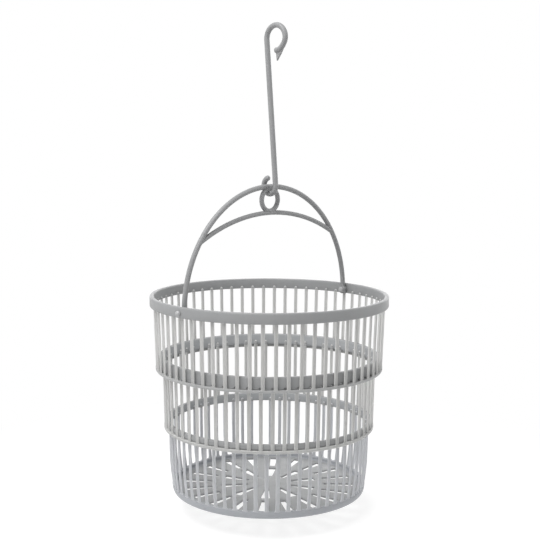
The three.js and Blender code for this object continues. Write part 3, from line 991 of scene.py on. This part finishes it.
class PEGBASKET_OT_handle(bpy.types.Operator):
    """Build the handle: two bows, the ring eye between them and the round ends"""

    bl_idname = "peg_basket.handle"
    bl_label = "Handle"

    def execute(self, context):
        sizes = settings(context).handle
        bm = bmesh.new()
        # The outer bow is a half circle, stretched upwards.
        start = PIVOT - Vector((sizes.bow_half_width, 0, 0))
        first = rod_ring(bm, start, UP, sizes.bow_rod / 2)
        last = turn_ring(bm, first, PIVOT, ACROSS_PINS, math.pi, steps=120)
        cap(bm, first, last)
        stretch = Vector((1, 1, sizes.bow_rise / sizes.bow_half_width))
        bmesh.ops.scale(bm, vec=stretch, space=Matrix.Translation(-PIVOT), verts=bm.verts[:])
        # The inner bow runs from rod to rod of the outer one.
        centre = PIVOT + Vector((0, 0, sizes.inner_rise - sizes.inner_radius))
        aside, upward = math.sin(sizes.inner_sweep), math.cos(sizes.inner_sweep)
        start = centre + sizes.inner_radius * Vector((-aside, 0, upward))
        first = rod_ring(bm, start, (upward, 0, aside), sizes.inner_rod / 2)
        last = turn_ring(bm, first, centre, ACROSS_PINS, 2 * sizes.inner_sweep, steps=72)
        cap(bm, first, last)
        eye = PIVOT + Vector((0, 0, sizes.bow_rise - sizes.eye_sag - sizes.eye_diameter / 2))
        start = eye + Vector((sizes.eye_diameter / 2, 0, 0))
        first = rod_ring(bm, start, UP, sizes.eye_rod / 2)
        turn_ring(bm, first, eye, ACROSS_PINS, FULL_TURN, steps=64)
        boss = sizes.boss_diameter / 2
        inner, outer = boss_ends(context)
        for side in (-1, 1):
            place = PIVOT + Vector((side * (inner + outer) / 2, 0, 0))
            lying = Matrix.Translation(place) @ Matrix.Rotation(math.pi / 2, 4, "Y")
            made = bmesh.ops.create_cone(
                bm, cap_ends=True, segments=48, radius1=boss, radius2=boss, depth=outer - inner,
                matrix=lying,
            )["verts"]
            edges = {edge for vert in made for edge in vert.link_edges}
            bevel(bm, hard_edges(edges), sizes.boss_edge)
        make_piece(context, "bow_handle", bm, "handle", ["handle"], "handle", sharp=60)
        return {"FINISHED"}


class PEGBASKET_OT_pivot_pins(bpy.types.Operator):
    """Build the two pins that the handle turns on"""

    bl_idname = "peg_basket.pivot_pins"
    bl_label = "Pivot Pins"

    def execute(self, context):
        sizes = settings(context).handle
        head, shank, nub = sizes.pin_head / 2, sizes.pin_shank / 2, sizes.pin_nub / 2
        seat = settings(context).sizes.rim_radius + RUNNING_GAP
        nub_seat = boss_ends(context)[0] - RUNNING_GAP
        # Shares of the nub's radius, and how far the dome stands off its seat there
        nub_dome = ((0, 0.0018), (0.5, 0.00167), (0.85, 0.00115), (1, 0.0004))
        undercut = 0.97
        points = (
            *((nub * across, nub_seat - out) for across, out in nub_dome),
            (nub * undercut, nub_seat),
            (shank, nub_seat),
            (shank, seat),
            (head * undercut, seat),
            *((head * across, seat + sizes.pin_dome * out) for across, out in HEAD_DOME),
            (0, seat + sizes.pin_dome),
        )
        for side, name in ((-1, "pivot_pin_left"), (1, "pivot_pin_right")):
            bm = bmesh.new()
            verts = [bm.verts.new((side * out, 0, reach)) for reach, out in points]
            for pair in zip(verts, verts[1:]):
                bm.edges.new(pair)
            everything = bm.verts[:] + bm.edges[:]
            spin(bm, everything, ORIGIN, ALONG_PINS, FULL_TURN, steps=48, merge=True)
            bmesh.ops.translate(bm, vec=PIVOT, verts=bm.verts[:])
            make_piece(context, name + "_moulding", bm, "upper_ring", [name], "pin", sharp=50)
        return {"FINISHED"}


def add_barb(bm, sizes, bend, polar, radius):
    """The thin web under the bend's tip that keeps the hook on its line."""
    drawn = sizes.bend_radius - sizes.bend_curl
    inside_rod = 0.9
    # The web's corners as degrees round the bend and distances from its centre: its root
    # in the rod, its back end, its belly and its point
    corners = (
        (268.5, drawn),
        (214, drawn + radius * inside_rod),
        (243, drawn + radius + sizes.barb_belly),
        (265.5, drawn + radius + sizes.barb_drop),
    )
    shift = Vector((sizes.barb_thickness / 2, 0, 0))
    before = set(bm.verts)
    verts = [
        bm.verts.new(polar(bend, math.radians(degrees), reach) - shift)
        for degrees, reach in corners
    ]
    bm.faces.new(verts)
    bevel(bm, [verts[-1]], sizes.barb_point, affect="VERTICES")
    face = next(f for v in set(bm.verts) - before for f in v.link_faces)
    made = bmesh.ops.extrude_face_region(bm, geom=[face], use_keep_orig=True)["geom"]
    bmesh.ops.translate(bm, vec=2 * shift, verts=pick(made, bmesh.types.BMVert))
    web = set(bm.verts) - before
    edges = [edge for edge in bm.edges if web.issuperset(edge.verts)]
    bevel(bm, hard_edges(edges), FINE_EDGE, segments=2)


class PEGBASKET_OT_hook(bpy.types.Operator):
    """Build the hook: a loop round the handle, a long shank, the bend and its barb"""

    bl_idname = "peg_basket.hook"
    bl_label = "Hook"

    def execute(self, context):
        sizes = settings(context).hook
        radius = sizes.rod / 2
        bend = Vector((0, 0, radius - sizes.bend_radius))

        def polar(centre, turn, reach):
            return centre + Vector((0, math.cos(turn), math.sin(turn))) * reach

        down = math.radians(270)
        loop = polar(bend, down + sizes.lean, sizes.centres)
        # The shank touches the bend on one side and the loop on the other, so it leans.
        lean = math.asin((sizes.bend_radius + sizes.loop_radius) / sizes.centres) - sizes.lean
        bm = bmesh.new()
        start = polar(loop, sizes.loop_tip, sizes.loop_radius)
        tangent = Vector((0, math.sin(sizes.loop_tip), -math.cos(sizes.loop_tip)))
        first = rod_ring(bm, start, tangent, radius)
        turn = -(sizes.loop_tip + math.pi + lean)
        ring = turn_ring(bm, first, loop, ALONG_PINS, turn, steps=56)
        dome(bm, first, -tangent, radius)
        seat = polar(loop, math.pi - lean, sizes.loop_radius)
        leave = polar(bend, -lean, sizes.bend_radius)
        shank_steps = 24
        for _ in range(shank_steps):
            verts, ring = extrude_ring(bm, ring)
            bmesh.ops.translate(bm, vec=(leave - seat) / shank_steps, verts=verts)
        before = set(bm.verts)
        ring = turn_ring(bm, ring, bend, ALONG_PINS, sizes.bend_tip + lean, steps=72)
        centre = polar(bend, sizes.bend_tip, sizes.bend_radius)
        tip = Vector((0, -math.sin(sizes.bend_tip), math.cos(sizes.bend_tip)))
        # The bend's end is blunt, with a small rounding.
        for rise, size in ((0.0001, 0.94), (0.00003, 0.88)):
            ring = grow(bm, ring, centre, (size, size, size), tip * rise)
        cap(bm, ring)
        # The bend's end is drawn in a little, from where its curl starts.
        curl_start, curl_length = math.radians(165), math.radians(60)
        # Past this, a vertex belongs to the bend's start, just before +Y.
        before_start = math.radians(330)
        for vert in set(bm.verts) - before:
            out = vert.co - bend
            turn = math.atan2(out.z, out.y) % FULL_TURN
            if turn > before_start:
                turn -= FULL_TURN
            drawn = min(max((turn - curl_start) / curl_length, 0), 1)
            out.x = 0
            vert.co -= out.normalized() * sizes.bend_curl * drawn * drawn * (3 - 2 * drawn)
        add_barb(bm, sizes, bend, polar, radius)
        make_piece(context, "line_hook", bm, "hook", ["hook"], "hook", sharp=60)
        return {"FINISHED"}


def soft_lamp(context, name, place, aim, size, power):
    """A wide lamp that points at a place and that the camera doesn't see."""
    data = bpy.data.lights.new(name, "AREA")
    data.shape = "RECTANGLE"
    data.size, data.size_y = size
    data.energy = power
    lamp = new_object(context, name, data)
    lamp.location = place
    lamp.rotation_euler = (aim - place).to_track_quat("-Z", "Y").to_euler()
    lamp.visible_camera = False


def white_rays(tree):
    """1 on the rays that see the studio as plain white: the camera's, mirrored and refracted ones."""
    path = add_node(tree, "ShaderNodeLightPath").outputs
    found = path["Is Camera Ray"]
    for name in ("Is Glossy Ray", "Is Transmission Ray"):
        found = math_node(tree, "MAXIMUM", found, path[name])
    return found


def add_world(scene, studio):
    """Soft pale light all round, which the camera sees as plain white."""
    world = bpy.data.worlds.new("studio")
    scene.world = world
    tree = empty_tree(world)

    def background(power):
        inputs = {"Color": WHITE, "Strength": power}
        return add_node(tree, "ShaderNodeBackground", inputs).outputs["Background"]

    room, seen = background(studio.world_strength), background(power=1)
    surface = mix_shader(tree, white_rays(tree), room, seen)
    add_node(tree, "ShaderNodeOutputWorld", {"Surface": surface})


def add_floor(context, studio):
    """A wide round floor that fades into the white room."""
    centre = Vector((BASKET_AXIS.x, BASKET_AXIS.y, FOOT - studio.floor_drop))
    bm = bmesh.new()
    bmesh.ops.create_circle(bm, cap_ends=True, segments=96, radius=6)
    bmesh.ops.translate(bm, vec=centre, verts=bm.verts[:])
    mesh = new_mesh("studio_floor", bm)
    mesh.materials.append(floor_material(studio, centre))
    floor = new_object(context, "studio_floor", mesh)
    floor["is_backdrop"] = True


def floor_material(studio, centre):
    """To the camera a shadow that fades into white, to other rays a pale matt floor."""
    material = bpy.data.materials.new("studio_floor")
    # Most of the wide floor sends no light up, so rays aren't aimed at it.
    material.cycles.emission_sampling = "NONE"
    tree = empty_tree(material)

    def matt(grey):
        inputs = {"Color": (grey, grey, grey, 1)}
        return add_node(tree, "ShaderNodeBsdfDiffuse", inputs).outputs["BSDF"]

    def glow(power):
        inputs = {"Color": WHITE, "Strength": power}
        return add_node(tree, "ShaderNodeEmission", inputs).outputs["Emission"]

    place = add_node(tree, "ShaderNodeTexCoord").outputs["Object"]
    away = vector_node(tree, "DISTANCE", place, centre, result="Value")
    # The camera sees a shadow close to the basket, and the room's plain white away from it.
    shadowed = add_shader(tree, matt(grey=0.3), glow(power=0.8))
    fade = map_range(tree, away, start=0.16, end=0.42, curve="SMOOTHSTEP")
    seen = mix_shader(tree, fade, shadowed, glow(power=1))
    # Close to the basket the floor sends more light up.
    near = map_range(tree, away, start=0.1, end=0.45, low=1, high=0, curve="SMOOTHSTEP")
    upward = glow(math_node(tree, "MULTIPLY", near, studio.floor_glow))
    sent = add_shader(tree, matt(grey=0.85), upward)
    surface = mix_shader(tree, white_rays(tree), sent, seen)
    add_node(tree, "ShaderNodeOutputMaterial", {"Surface": surface})
    return material


class PEGBASKET_OT_studio(bpy.types.Operator):
    """Set up the pale floor, the soft lamps, the world and the camera"""

    bl_idname = "peg_basket.studio"
    bl_label = "Studio"

    def execute(self, context):
        studio = settings(context).studio
        scene = context.scene
        scene.view_settings.view_transform = "Standard"
        forward = Vector((math.sin(studio.azimuth), math.cos(studio.azimuth), 0))
        right = Vector((forward.y, -forward.x, 0))
        aim = BASKET_AXIS - Vector((0, 0, studio.aim_drop))
        add_world(scene, studio)
        add_floor(context, studio)
        for name, across, away, up, size, power in (
            ("top_lamp", -0.5, -0.6, 1.6, (1.2, 1.2), studio.top_power),
            ("left_lamp", -1.2, 0.25, 0.35, (0.7, 1.2), studio.left_power),
            ("right_lamp", 1.2, 0.25, 0.35, (0.7, 1.2), studio.right_power),
            ("front_lamp", -0.9, -1.0, 0.5, (0.8, 0.8), studio.front_power),
            ("back_lamp", 0.2, 1.5, -0.05, (2.0, 1.2), studio.back_power),
        ):
            place = aim + right * across + forward * away + Vector((0, 0, up))
            soft_lamp(context, name, place, aim, size, power)
        camera = new_object(context, "camera", bpy.data.cameras.new("camera"))
        camera.data.lens = studio.lens
        camera.data.sensor_width = 36
        camera.data.clip_start = 0.01
        camera.location = BASKET_AXIS - forward * studio.distance + Vector((0, 0, studio.height))
        camera.rotation_euler = Euler((math.pi / 2 - studio.pitch, -studio.roll, -studio.azimuth))
        scene.camera = camera
        return {"FINISHED"}


class PEGBASKET_PT_sidebar(bpy.types.Panel):
    bl_label = "Peg Basket"
    bl_idname = "PEGBASKET_PT_sidebar"
    bl_space_type = "VIEW_3D"
    bl_region_type = "UI"
    bl_category = "Peg Basket"

    def draw(self, context):
        for step in STEPS:
            self.layout.operator(step.bl_idname)


STEPS = (
    PEGBASKET_OT_upper_ring,
    PEGBASKET_OT_lower_basket,
    PEGBASKET_OT_handle,
    PEGBASKET_OT_pivot_pins,
    PEGBASKET_OT_hook,
    PEGBASKET_OT_studio,
)
CLASSES = (
    PegBasketSizes,
    PegBasketHandle,
    PegBasketHook,
    PegBasketFinish,
    PegBasketStudio,
    PegBasket,
    *STEPS,
    PEGBASKET_PT_sidebar,
)


def register():
    for cls in CLASSES:
        bpy.utils.register_class(cls)
    bpy.types.Scene.peg_basket = bpy.props.PointerProperty(type=PegBasket)


def unregister():
    del bpy.types.Scene.peg_basket
    for cls in reversed(CLASSES):
        bpy.utils.unregister_class(cls)


def main():
    register()
    bpy.ops.peg_basket.upper_ring()
    bpy.ops.peg_basket.lower_basket()
    bpy.ops.peg_basket.handle()
    bpy.ops.peg_basket.pivot_pins()
    bpy.ops.peg_basket.hook()
    bpy.ops.peg_basket.studio()


if __name__ == "__main__":
    main()
